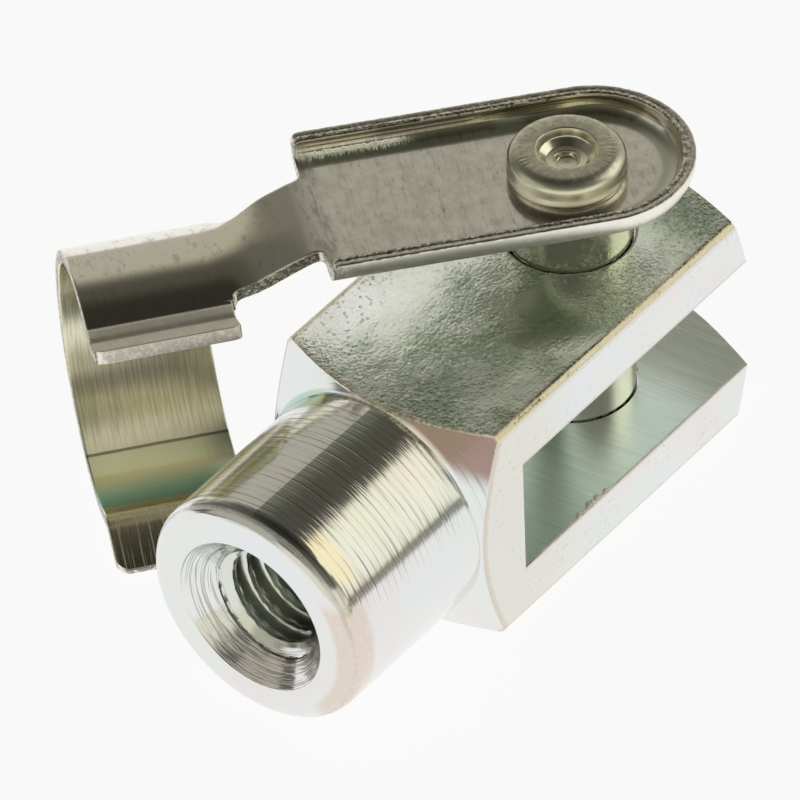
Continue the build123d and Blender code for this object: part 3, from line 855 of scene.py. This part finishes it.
def makeTray(c):
    # the rim's section (inset, height) carried along the outline, from the far side round the nose to the
    # near side; rows of floor run in from the bend's foot to the hole and the middle line
    sheet, foot = c.sheet, c.sheet + c.bend
    run = c.trayEnd - c.noseAt
    count = int(run / c.step)
    share = 1 - np.arange(count) / count
    turn = np.linspace(0, np.pi, int(np.pi * c.trayHalf / c.step))
    quarterHole = np.pi / 2 * c.hole
    reach = share * (quarterHole + c.trayEnd - c.hole)
    reach[np.argmin(np.abs(reach - quarterHole))] = quarterHole
    swing = np.minimum(reach, quarterHole) / c.hole
    holeAlong = c.hole * np.sin(swing) + np.maximum(reach - quarterHole, 0)
    holeAcross = np.where(reach < quarterHole, c.hole * np.cos(swing), 0)
    straight = c.noseAt + share * run
    middle = chain([straight, np.full(len(turn), c.noseAt), straight[::-1]])
    outAlong = chain([share * 0, -np.sin(turn), share * 0])
    outAcross = chain([share * 0 - 1, -np.cos(turn), share * 0 + 1])
    innerAlong = chain([holeAlong, -c.hole * np.sin(turn), holeAlong[::-1]])
    innerAcross = chain([-holeAcross, -c.hole * np.cos(turn), holeAcross[::-1]])
    top = c.rimHeight - quarter(c.trayEnd - middle, c.cornerRadius)

    # the section goes up the inner bend and wall, over the rim, and down outside
    bend = np.linspace(0, np.pi / 2, c.bendSteps)
    wall = np.array(c.wallSteps)
    rimInset, rimDrop = np.array(c.rimInset), np.array(c.rimDrop) * c.edgeRound
    inset = chain([foot - c.bend * np.sin(bend), wall * 0 + sheet, rimInset, wall * 0,
                   foot - foot * np.sin(bend[::-1])])
    lift = chain([bend * 0, wall, rimInset * 0 + 1, wall[::-1], bend * 0])
    low = chain([foot - c.bend * np.cos(bend), wall * 0 + foot, rimInset * 0 + foot, wall * 0 + foot,
                 foot - foot * np.cos(bend[::-1])])
    below = len(bend) + len(wall)
    drop = chain([np.full(below, rimDrop[0]), rimDrop, np.full(below, rimDrop[-1])])
    steps = chain([np.arange(below, 0, -1), rimDrop * 0, np.arange(1, below + 1)])
    onRim = chain([np.zeros(below), rimInset * 0 + 1, np.zeros(below)])
    height = np.minimum(low[:, None] + lift[:, None] * (top - foot),
                        top - drop[:, None] - c.sink * steps[:, None])
    out = c.trayHalf - inset[:, None]
    along, across = middle + out * outAlong, out * outAcross
    rough = crumbs(np.stack([along, across, height], -1), *c.trayCrumb) * onRim[:, None] * c.edgeCrumb
    height = height - np.abs(rough)

    def floorRows(share, edge):
        # rows from the bend's foot (share 0) to the hole and the middle line (share 1)
        return (share * inner + (1 - share) * line[edge]
                for inner, line in ((innerAlong, along), (innerAcross, across)))

    share = np.linspace(0, 1, c.floorRows)[1:, None]
    overAlong, overAcross = floorRows(share[::-1], 0)
    underAlong, underAcross = floorRows(share, -1)
    points = clipPlace(chain([overAlong, along, underAlong]), chain([overAcross, across, underAcross]),
                       chain([overAlong * 0 + sheet, height, underAlong * 0]), c)
    count, columns = points.shape[:2]
    number = np.arange(count * columns).reshape(count, columns)
    hole = np.hypot(innerAlong, innerAcross) < c.hole + 1e-6
    holeWall = ladder(number[0], number[-1])[hole[:-1] & hole[1:]]
    half = count // 2
    ends = [ladder(number[:half, k], number[::-1, k][:half]) for k in (0, -1)]
    return points, chain([gridFaces(count, columns, False), holeWall, *ends])


def makeNeck(c):
    # a flat strip bent down from the tray's floor and rolled to the clasp's curve at its foot;
    # height = the bent middle line less the sag of the roll; the strip widens at both ends by a fillet
    slant = math.radians(c.claspPitch)
    outer = c.claspRadius + c.sheet
    endAlong = c.claspStart + outer * math.sin(slant)
    endRise = c.claspDrop + outer * math.cos(slant)
    corners = [(c.trayEnd - 0.002, c.sheet), (c.trayEnd + 0.25, c.sheet),
               (endAlong - 0.25, endRise + 0.25 * math.tan(slant)),
               (endAlong + 0.8, endRise - 0.8 * math.tan(slant))]
    line = finer(roundedLine(corners, [c.neckBend, c.claspBlend], c.blendSteps), c.neckSpacing)
    line = line[line[:, 0] < endAlong + c.neckOverlap]
    slope = np.gradient(line[:, 1], line[:, 0])
    way = np.clip((line[:, :1] - c.trayEnd - 0.3) / (endAlong - c.trayEnd - 0.3), 0, 1)
    farWay = np.clip((way - c.rollAfter) / (1 - c.rollAfter), 0, 1)
    nearRoll, farRoll = (share ** 2 * (3 - 2 * share) for share in (way, farWay))
    fromTray, toClasp = line[:, 0] - c.trayEnd, endAlong - line[:, 0]
    spread = chain([[-1.0, -0.992, -0.975], np.linspace(-1, 1, 41)[1:-1], [0.975, 0.992, 1.0]])
    near = c.neckHalf + quarter(np.minimum(fromTray, toClasp).clip(0), c.neckFillet) - c.nearTaper * way[:, 0]
    far = c.neckHalf + quarter(fromTray, c.neckFillet) + quarter(toClasp, c.farFillet)
    near, far = near[:, None], far[:, None]
    across = np.where(spread > 0, near, far) * spread
    roll = np.where(across > 0, nearRoll, farRoll).clip(1e-4)
    sink = np.clip((line[:, :1] - endAlong) / c.neckOverlap, 0, 1) * c.sink - c.neckLift
    drop = quarter((1 - np.abs(spread)) * c.neckHalf, c.edgeRound) + sink
    tilt = np.stack([-slope, slope * 0 + 1], -1) / np.sqrt(1 + slope ** 2)[:, None]

    def skin(depth, radius):
        # the middle line moved in by the depth and the sag of an arc, flatter where the roll is less
        bow = radius / roll
        sag = bow - np.sqrt(bow ** 2 - across ** 2)
        return (line[:, :1] - tilt[:, :1] * (depth + sag), line[:, 1:] - tilt[:, 1:] * (depth + sag))

    over, under = skin(drop, outer), skin(c.sheet - drop + 2 * sink.clip(None, 0), c.claspRadius)
    layers = np.linspace(0, 1, 9)[1:-1]
    along, rise = (chain([o, o[:, -1:] + (u - o)[:, -1:] * layers, u[:, ::-1],
                          u[:, :1] + (o - u)[:, :1] * layers], 1) for o, u in zip(over, under))
    sides = chain([across, near + layers * 0, across[:, ::-1], -far + layers * 0], 1)
    sheared = chain([spread * 0, layers * 0 + 1, spread * 0, layers * 0 - 1])
    rough = np.abs(crumbs(np.stack([along, sides, rise], -1), *c.neckCrumb)) * c.edgeCrumb * 1.5
    return wrappedGrid(clipPlace(along, sides - rough * sheared, rise, c), 4)


def makeClasp(c):
    # the grip line (arc, two reverse bends, two straight lips) and its offset by the sheet, carried along the
    # clasp's length with rounded edges and lip corners
    radius, bend = c.claspRadius, c.lipBend
    reach, heading = math.radians(c.claspReach), math.radians(c.lipAngle)

    def lip(side, length, steps):
        # a straight lip and its reverse bend, with the share of the lip's length at each point
        centre = np.array([math.cos(reach), side * math.sin(reach)]) * (radius + bend)
        swing = np.linspace(heading - np.pi / 2, reach - np.pi, 22)
        out = -np.stack([np.cos(swing), side * np.sin(swing)], -1)
        curve = centre - out * bend
        ahead = np.array([math.cos(heading), side * math.sin(heading)])
        share = chain([[1.0, 0.995, 0.98, 0.96], np.linspace(0.93, 0, steps)[:-1]])[:, None]
        straight = curve[0] + ahead * length * share
        shares = chain([share[:, 0], swing * 0])
        return chain([straight, curve]), chain([straight * 0 + out[0], out]), shares

    upper, upperOut, upperShare = lip(1, c.upperLip, 14)
    lower, lowerOut, lowerShare = (part[::-1] for part in lip(-1, c.lowerLip, 16))
    swing = np.linspace(reach, 2 * np.pi - reach, 170)[1:-1]
    arcOut = np.stack([np.cos(swing), np.sin(swing)], -1)
    line = chain([upper, arcOut * radius, lower])
    out = chain([upperOut, arcOut, lowerOut])
    edge, length, onArc = c.edgeRound, c.claspLength, swing * 0
    rim = np.array([0, 0.004, 0.012, 0.024, 0.04])
    depth = chain([rim, np.linspace(0.055, length - 0.055, 82), length - rim[::-1]])[:, None]
    nearEnd = np.minimum(depth, length - depth)
    cutUpper = quarter(nearEnd, c.upperCorner) * chain([upperShare, onArc, lowerShare * 0])
    cutLower = quarter(nearEnd, c.lowerCorner) * chain([upperShare * 0, onArc, lowerShare])
    x = line[:, 0] - math.cos(heading) * (cutUpper + cutLower)
    y = line[:, 1] - math.sin(heading) * (cutUpper - cutLower)
    lipLength = chain([upperShare * 0 + c.upperLip, onArc + 9, lowerShare * 0 + c.lowerLip])
    fromLip = (1 - chain([upperShare, onArc, lowerShare])) * lipLength
    drop = np.maximum(quarter(nearEnd, edge), quarter(fromLip[None], edge))
    skins = [np.stack([x + out[:, 0] * d, y + out[:, 1] * d], -1) for d in (drop, c.sheet - drop)]
    loop = chain([skins[0], skins[1][:, ::-1]], 1)
    slant = math.radians(c.claspPitch)
    along = c.claspStart + depth * math.cos(slant) + loop[..., 1] * math.sin(slant)
    rise = c.claspDrop - depth * math.sin(slant) + loop[..., 1] * math.cos(slant)
    return wrappedGrid(clipPlace(along, loop[..., 0], rise, c))


springSheet = dressClip(clipSet)
clip.data.materials[0] = springSheet
for name, make in (("clip_tray", makeTray), ("clip_neck", makeNeck), ("clip_clasp", makeClasp)):
    piece = addPiece(name, *make(clipSet), springSheet, "clip", "plated_clip")
    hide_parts("clip")
